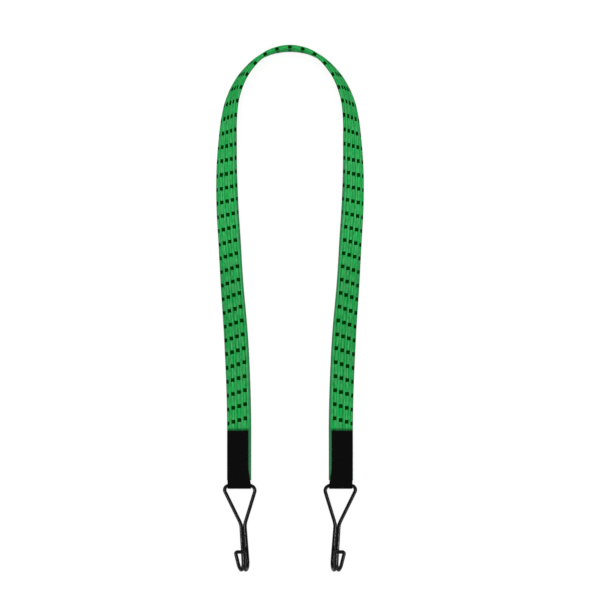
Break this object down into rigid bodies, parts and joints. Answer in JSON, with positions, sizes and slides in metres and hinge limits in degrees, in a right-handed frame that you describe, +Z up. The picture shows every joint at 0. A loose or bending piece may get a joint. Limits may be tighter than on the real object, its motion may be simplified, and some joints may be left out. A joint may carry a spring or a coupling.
{
  "type": "flat bungee cord",
  "caption": "Flat elastic strap laid in an arch, with a folded webbing tab and a bent wire hook at each end, for tying down and bundling loads.",
  "frame": {"origin": "centre of the bounding box seen from above, on the surface that the cord lies on", "axes": "+Z up out of that surface, +Y from the hooks to the bend, +X to the right seen from above with the bend at the top"},
  "size_m": [0.131, 0.465, 0.02],
  "materials": {
    "jacket": "ribbed woven tube, green with rows of dark ticks",
    "rubber": "matt natural rubber",
    "tab": "black woven webbing with black sewing thread",
    "hook": "satin black coated steel wire"
  },
  "bodies": {
    "elastic": {"elastic_jacket": "jacket", "rubber_strand_01": "rubber", "rubber_strand_02": "rubber", "rubber_strand_03": "rubber", "rubber_strand_04": "rubber", "rubber_strand_05": "rubber", "rubber_strand_06": "rubber", "rubber_strand_07": "rubber", "rubber_strand_08": "rubber"},
    "left_end": {"left_tab": "tab"},
    "right_end": {"right_tab": "tab"},
    "left_wire": {"left_hook": "hook"},
    "right_wire": {"right_hook": "hook"}
  },
  "joints": [
    {"name": "left_stretch", "type": "slide", "parent": "elastic", "child": "left_end", "axis": [0, -1, 0], "range_m": [0, 0.25], "stiffness_N_per_m": 400, "deforming": ["elastic_jacket", "rubber_strand_01", "rubber_strand_02", "rubber_strand_03", "rubber_strand_04", "rubber_strand_05", "rubber_strand_06", "rubber_strand_07", "rubber_strand_08"]},
    {"name": "right_stretch", "type": "slide", "parent": "elastic", "child": "right_end", "axis": [0, -1, 0], "range_m": [0, 0.25], "stiffness_N_per_m": 400, "deforming": ["elastic_jacket", "rubber_strand_01", "rubber_strand_02", "rubber_strand_03", "rubber_strand_04", "rubber_strand_05", "rubber_strand_06", "rubber_strand_07", "rubber_strand_08"]},
    {"name": "left_hook_swing", "type": "hinge", "parent": "left_end", "child": "left_wire", "pos_m": [-0.045, -0.157, 0.0035], "axis": [-1, 0, 0], "range_deg": [0, 135]},
    {"name": "right_hook_swing", "type": "hinge", "parent": "right_end", "child": "right_wire", "pos_m": [0.045, -0.157, 0.0035], "axis": [-1, 0, 0], "range_deg": [0, 135]}
  ]
}
